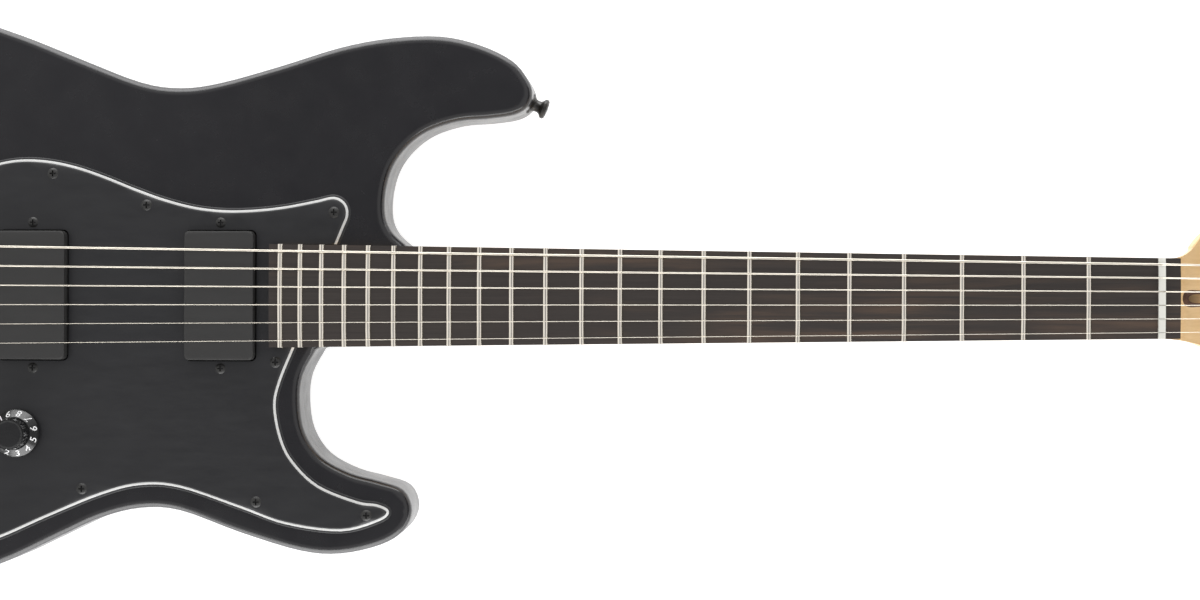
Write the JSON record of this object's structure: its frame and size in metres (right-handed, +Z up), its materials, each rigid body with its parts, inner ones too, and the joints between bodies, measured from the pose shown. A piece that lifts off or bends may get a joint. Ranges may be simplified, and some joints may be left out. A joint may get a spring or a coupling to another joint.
{
  "type": "electric guitar",
  "caption": "Solid-body electric guitar with a bolt-on maple neck, two covered pickups, one volume knob and a fixed string-through bridge.",
  "frame": {"origin": "under the middle of the whole guitar, level with the neck plate's outer face, its lowest face", "axes": "+X towards the headstock along the strings, +Y to the bass side, +Z up from the back through the strings"},
  "size_m": [1.0008, 0.3202, 0.0663],
  "materials": {
    "satin_black": "satin",
    "guard_black": "matte",
    "guard_white": "matte",
    "pickup_black": "satin",
    "knob_black": "satin",
    "black_metal": "satin",
    "bright_steel": "polished",
    "nickel": "satin",
    "maple": "satin",
    "ebony": "satin",
    "walnut": "satin",
    "bone": "satin"
  },
  "bodies": {
    "guitar": {"body": "satin_black", "pickguard_top_ply": "guard_black", "pickguard_white_ply": "guard_white", "pickguard_base_ply": "guard_black", "pickguard_screws": "black_metal", "pickup_height_screws": "black_metal", "neck_pickup_springs": "bright_steel", "bridge_pickup_springs": "bright_steel", "volume_pot": "nickel", "control_nuts": "nickel", "selector_frame": "nickel", "selector_screws": "black_metal", "jack_plate": "black_metal", "jack_socket": "nickel", "jack_plate_screws": "black_metal", "battery": "guard_black", "bridge_plate": "black_metal", "bridge_screws": "black_metal", "intonation_screws": "bright_steel", "intonation_springs": "bright_steel", "string_ferrules": "black_metal", "neck": "maple", "fingerboard": "ebony", "frets": "bright_steel", "nut": "bone", "truss_rod": "nickel", "headstock_plug": "walnut", "string_trees": "black_metal", "neck_plate": "black_metal", "neck_screws": "black_metal", "strap_buttons": "black_metal", "strap_screws": "black_metal", "tuner_housings": "black_metal", "tuner_bushings": "black_metal", "wound_strings": "bright_steel", "plain_strings": "bright_steel"},
    "key_1": {"tuner_key_1": "black_metal"},
    "post_1": {"tuner_post_1": "nickel"},
    "key_2": {"tuner_key_2": "black_metal"},
    "post_2": {"tuner_post_2": "nickel"},
    "key_3": {"tuner_key_3": "black_metal"},
    "post_3": {"tuner_post_3": "nickel"},
    "key_4": {"tuner_key_4": "black_metal"},
    "post_4": {"tuner_post_4": "nickel"},
    "key_5": {"tuner_key_5": "black_metal"},
    "post_5": {"tuner_post_5": "nickel"},
    "key_6": {"tuner_key_6": "black_metal"},
    "post_6": {"tuner_post_6": "nickel"},
    "saddle_body_1": {"saddle_1": "black_metal"},
    "saddle_body_2": {"saddle_2": "black_metal"},
    "saddle_body_3": {"saddle_3": "black_metal"},
    "saddle_body_4": {"saddle_4": "black_metal"},
    "saddle_body_5": {"saddle_5": "black_metal"},
    "saddle_body_6": {"saddle_6": "black_metal"},
    "volume": {"volume_knob": "knob_black", "pot_shaft": "nickel"},
    "selector": {"selector_lever": "nickel", "selector_tip": "knob_black"},
    "neck_pickup_body": {"neck_pickup": "pickup_black"},
    "bridge_pickup_body": {"bridge_pickup": "pickup_black"}
  },
  "joints": [
    {"name": "tuner_key_1_turn", "type": "hinge", "parent": "guitar", "child": "key_1", "pos_m": [0.36133, 0.01952, 0.0236], "axis": [0.2654, 0.9641, 0], "continuous": true},
    {"name": "tuner_post_1_turn", "type": "hinge", "parent": "guitar", "child": "post_1", "pos_m": [0.35285, 0.02186, 0.0416], "axis": [0, 0, 1], "continuous": true},
    {"name": "tuner_key_2_turn", "type": "hinge", "parent": "guitar", "child": "key_2", "pos_m": [0.38593, 0.01221, 0.0236], "axis": [0.2654, 0.9641, 0], "continuous": true},
    {"name": "tuner_post_2_turn", "type": "hinge", "parent": "guitar", "child": "post_2", "pos_m": [0.37745, 0.01455, 0.0416], "axis": [0, 0, 1], "continuous": true},
    {"name": "tuner_key_3_turn", "type": "hinge", "parent": "guitar", "child": "key_3", "pos_m": [0.41053, 0.00515, 0.0236], "axis": [0.2654, 0.9641, 0], "continuous": true},
    {"name": "tuner_post_3_turn", "type": "hinge", "parent": "guitar", "child": "post_3", "pos_m": [0.40205, 0.00749, 0.0416], "axis": [0, 0, 1], "continuous": true},
    {"name": "tuner_key_4_turn", "type": "hinge", "parent": "guitar", "child": "key_4", "pos_m": [0.43513, -0.00164, 0.0236], "axis": [0.2654, 0.9641, 0], "continuous": true},
    {"name": "tuner_post_4_turn", "type": "hinge", "parent": "guitar", "child": "post_4", "pos_m": [0.42665, 0.00069, 0.0416], "axis": [0, 0, 1], "continuous": true},
    {"name": "tuner_key_5_turn", "type": "hinge", "parent": "guitar", "child": "key_5", "pos_m": [0.45973, -0.00813, 0.0236], "axis": [0.2654, 0.9641, 0], "continuous": true},
    {"name": "tuner_post_5_turn", "type": "hinge", "parent": "guitar", "child": "post_5", "pos_m": [0.45125, -0.00579, 0.0416], "axis": [0, 0, 1], "continuous": true},
    {"name": "tuner_key_6_turn", "type": "hinge", "parent": "guitar", "child": "key_6", "pos_m": [0.48433, -0.01435, 0.0236], "axis": [0.2654, 0.9641, 0], "continuous": true},
    {"name": "tuner_post_6_turn", "type": "hinge", "parent": "guitar", "child": "post_6", "pos_m": [0.47585, -0.01201, 0.0416], "axis": [0, 0, 1], "continuous": true},
    {"name": "saddle_1_slide", "type": "slide", "parent": "guitar", "child": "saddle_body_1", "axis": [1, 0, 0], "range_m": [-0.003, 0.003], "deforming": ["intonation_springs", "wound_strings"]},
    {"name": "saddle_2_slide", "type": "slide", "parent": "guitar", "child": "saddle_body_2", "axis": [1, 0, 0], "range_m": [-0.003, 0.003], "deforming": ["intonation_springs", "wound_strings"]},
    {"name": "saddle_3_slide", "type": "slide", "parent": "guitar", "child": "saddle_body_3", "axis": [1, 0, 0], "range_m": [-0.003, 0.003], "deforming": ["intonation_springs", "wound_strings"]},
    {"name": "saddle_4_slide", "type": "slide", "parent": "guitar", "child": "saddle_body_4", "axis": [1, 0, 0], "range_m": [-0.003, 0.003], "deforming": ["intonation_springs", "plain_strings"]},
    {"name": "saddle_5_slide", "type": "slide", "parent": "guitar", "child": "saddle_body_5", "axis": [1, 0, 0], "range_m": [-0.003, 0.003], "deforming": ["intonation_springs", "plain_strings"]},
    {"name": "saddle_6_slide", "type": "slide", "parent": "guitar", "child": "saddle_body_6", "axis": [1, 0, 0], "range_m": [-0.003, 0.003], "deforming": ["intonation_springs", "plain_strings"]},
    {"name": "volume_turn", "type": "hinge", "parent": "guitar", "child": "volume", "pos_m": [-0.29665, -0.07322, 0.0516], "axis": [0, 0, -1], "range_deg": [-270, 30]},
    {"name": "selector_swing", "type": "hinge", "parent": "guitar", "child": "selector", "pos_m": [-0.33315, -0.09692, 0.0216], "axis": [-0.342, 0.9397, 0], "range_deg": [-18, 18]},
    {"name": "neck_pickup_height", "type": "slide", "parent": "guitar", "child": "neck_pickup_body", "axis": [0, 0, 1], "range_m": [-0.003, 0.0015], "deforming": ["neck_pickup_springs"]},
    {"name": "bridge_pickup_height", "type": "slide", "parent": "guitar", "child": "bridge_pickup_body", "axis": [0, 0, 1], "range_m": [-0.003, 0.0015], "deforming": ["bridge_pickup_springs"]}
  ],
  "couplings": [
    {"joint": "tuner_post_1_turn", "follows": "tuner_key_1_turn", "ratio": 0.066667},
    {"joint": "tuner_post_2_turn", "follows": "tuner_key_2_turn", "ratio": 0.066667},
    {"joint": "tuner_post_3_turn", "follows": "tuner_key_3_turn", "ratio": 0.066667},
    {"joint": "tuner_post_4_turn", "follows": "tuner_key_4_turn", "ratio": 0.066667},
    {"joint": "tuner_post_5_turn", "follows": "tuner_key_5_turn", "ratio": 0.066667},
    {"joint": "tuner_post_6_turn", "follows": "tuner_key_6_turn", "ratio": 0.066667}
  ]
}
